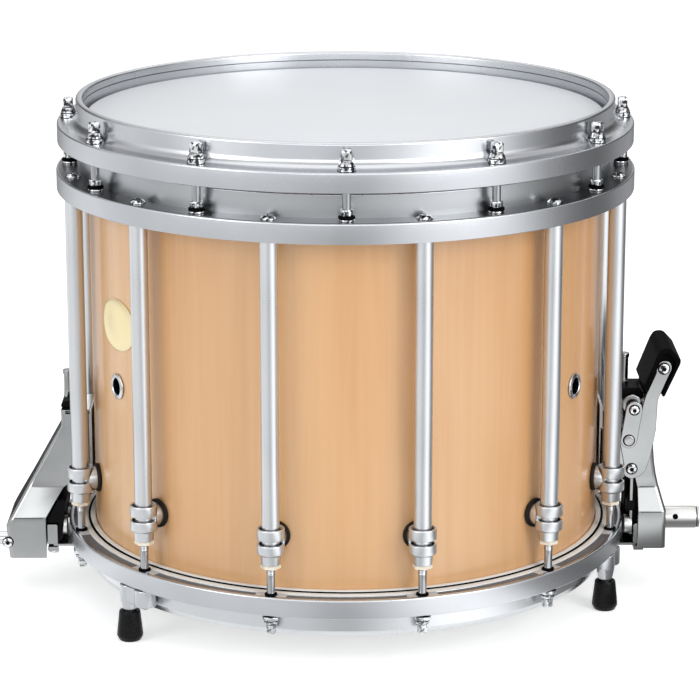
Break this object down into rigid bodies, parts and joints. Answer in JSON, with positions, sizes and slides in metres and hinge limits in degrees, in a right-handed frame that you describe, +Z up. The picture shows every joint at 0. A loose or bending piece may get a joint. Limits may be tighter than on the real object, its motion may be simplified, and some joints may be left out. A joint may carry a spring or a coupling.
{
  "type": "marching snare drum",
  "caption": "Deep cylindrical wood-shell drum, tensioned by rods and tubes on aluminium hoops, with taut snares and a throw-off lever under the lower head, on rubber-tipped feet.",
  "frame": {"origin": "On the floor, under the centre of the drum: the centre of the bounding box's underside.", "axes": "+Z is up, through the batter head. +X points to the strainer's knob. -Y points to the front, which the picture shows."},
  "size_m": [0.498, 0.3932, 0.3475],
  "materials": {
    "maple": "satin clear lacquer",
    "satin_aluminium": "satin",
    "tube_aluminium": "polished satin",
    "chrome": "bright plated",
    "bright_steel": "bright plated sheet",
    "black_metal": "black coated",
    "black_plastic": "moulded",
    "batter_film": "smooth white film",
    "snare_film": "thin clear film",
    "rubber": "moulded"
  },
  "bodies": {
    "drum": {"shell": "maple", "batter_head": "batter_film", "snare_head": "snare_film", "batter_hoop": "satin_aluminium", "top_ring": "satin_aluminium", "bottom_hoop": "satin_aluminium", "vent_grommet_left": "chrome", "vent_grommet_right": "chrome", "tube_01": "tube_aluminium", "tube_02": "tube_aluminium", "tube_03": "tube_aluminium", "tube_04": "tube_aluminium", "tube_05": "tube_aluminium", "tube_06": "tube_aluminium", "tube_07": "tube_aluminium", "tube_08": "tube_aluminium", "tube_09": "tube_aluminium", "tube_10": "tube_aluminium", "tube_11": "tube_aluminium", "tube_12": "tube_aluminium", "lug_01": "satin_aluminium", "lug_02": "satin_aluminium", "lug_03": "satin_aluminium", "lug_04": "satin_aluminium", "lug_05": "satin_aluminium", "lug_06": "satin_aluminium", "lug_07": "satin_aluminium", "lug_08": "satin_aluminium", "lug_09": "satin_aluminium", "lug_10": "satin_aluminium", "lug_11": "satin_aluminium", "lug_12": "satin_aluminium", "foot_bracket_01": "satin_aluminium", "foot_bracket_02": "satin_aluminium", "foot_bracket_03": "satin_aluminium", "foot_tip_01": "rubber", "foot_tip_02": "rubber", "foot_tip_03": "rubber", "strainer_frame": "bright_steel", "butt_base": "black_metal", "butt_bracket": "bright_steel", "butt_clamp": "chrome"},
    "rod_01": {"tension_rod_01": "chrome"},
    "rod_02": {"tension_rod_02": "chrome"},
    "rod_03": {"tension_rod_03": "chrome"},
    "rod_04": {"tension_rod_04": "chrome"},
    "rod_05": {"tension_rod_05": "chrome"},
    "rod_06": {"tension_rod_06": "chrome"},
    "rod_07": {"tension_rod_07": "chrome"},
    "rod_08": {"tension_rod_08": "chrome"},
    "rod_09": {"tension_rod_09": "chrome"},
    "rod_10": {"tension_rod_10": "chrome"},
    "rod_11": {"tension_rod_11": "chrome"},
    "rod_12": {"tension_rod_12": "chrome"},
    "lever": {"throw_off_lever": "bright_steel", "lever_grip": "black_plastic"},
    "link": {"lever_link": "bright_steel"},
    "carriage": {"snare_carriage": "black_metal"},
    "knob": {"tension_knob": "chrome"},
    "snares": {"snare_strands": "bright_steel"}
  },
  "joints": [
    {"name": "rod_01_turn", "type": "hinge", "parent": "drum", "child": "rod_01", "pos_m": [0, -0.1882, 0.335], "axis": [0, 0, 1], "range_deg": [-180, 180]},
    {"name": "rod_02_turn", "type": "hinge", "parent": "drum", "child": "rod_02", "pos_m": [0.0941, -0.16299, 0.335], "axis": [0, 0, 1], "range_deg": [-180, 180]},
    {"name": "rod_03_turn", "type": "hinge", "parent": "drum", "child": "rod_03", "pos_m": [0.16299, -0.0941, 0.335], "axis": [0, 0, 1], "range_deg": [-180, 180]},
    {"name": "rod_04_turn", "type": "hinge", "parent": "drum", "child": "rod_04", "pos_m": [0.1882, 0, 0.335], "axis": [0, 0, 1], "range_deg": [-180, 180]},
    {"name": "rod_05_turn", "type": "hinge", "parent": "drum", "child": "rod_05", "pos_m": [0.16299, 0.0941, 0.335], "axis": [0, 0, 1], "range_deg": [-180, 180]},
    {"name": "rod_06_turn", "type": "hinge", "parent": "drum", "child": "rod_06", "pos_m": [0.0941, 0.16299, 0.335], "axis": [0, 0, 1], "range_deg": [-180, 180]},
    {"name": "rod_07_turn", "type": "hinge", "parent": "drum", "child": "rod_07", "pos_m": [0, 0.1882, 0.335], "axis": [0, 0, 1], "range_deg": [-180, 180]},
    {"name": "rod_08_turn", "type": "hinge", "parent": "drum", "child": "rod_08", "pos_m": [-0.0941, 0.16299, 0.335], "axis": [0, 0, 1], "range_deg": [-180, 180]},
    {"name": "rod_09_turn", "type": "hinge", "parent": "drum", "child": "rod_09", "pos_m": [-0.16299, 0.0941, 0.335], "axis": [0, 0, 1], "range_deg": [-180, 180]},
    {"name": "rod_10_turn", "type": "hinge", "parent": "drum", "child": "rod_10", "pos_m": [-0.1882, 0, 0.335], "axis": [0, 0, 1], "range_deg": [-180, 180]},
    {"name": "rod_11_turn", "type": "hinge", "parent": "drum", "child": "rod_11", "pos_m": [-0.16299, -0.0941, 0.335], "axis": [0, 0, 1], "range_deg": [-180, 180]},
    {"name": "rod_12_turn", "type": "hinge", "parent": "drum", "child": "rod_12", "pos_m": [-0.0941, -0.16299, 0.335], "axis": [0, 0, 1], "range_deg": [-180, 180]},
    {"name": "lever_swing", "type": "hinge", "parent": "drum", "child": "lever", "pos_m": [0.1983, 0, 0.088], "axis": [0, 1, 0], "range_deg": [0, 45]},
    {"name": "link_swing", "type": "hinge", "parent": "lever", "child": "link", "pos_m": [0.1957, 0, 0.1092], "axis": [0, 1, 0], "range_deg": [-90, 0]},
    {"name": "carriage_slide", "type": "slide", "parent": "drum", "child": "carriage", "axis": [0, 0, -1], "range_m": [0, 0.0082]},
    {"name": "snares_tilt", "type": "hinge", "parent": "drum", "child": "snares", "pos_m": [-0.203, 0, 0.03275], "axis": [0, 1, 0], "range_deg": [0, 1.25]},
    {"name": "knob_turn", "type": "hinge", "parent": "drum", "child": "knob", "pos_m": [0.236, 0, 0.045], "axis": [1, 0, 0], "range_deg": [-180, 180]}
  ],
  "couplings": [
    {"joint": "link_swing", "follows": "lever_swing", "ratio": -1.955},
    {"joint": "carriage_slide", "follows": "lever_swing", "m_per_rad": 0.01015},
    {"joint": "snares_tilt", "follows": "lever_swing", "ratio": 0.025}
  ]
}
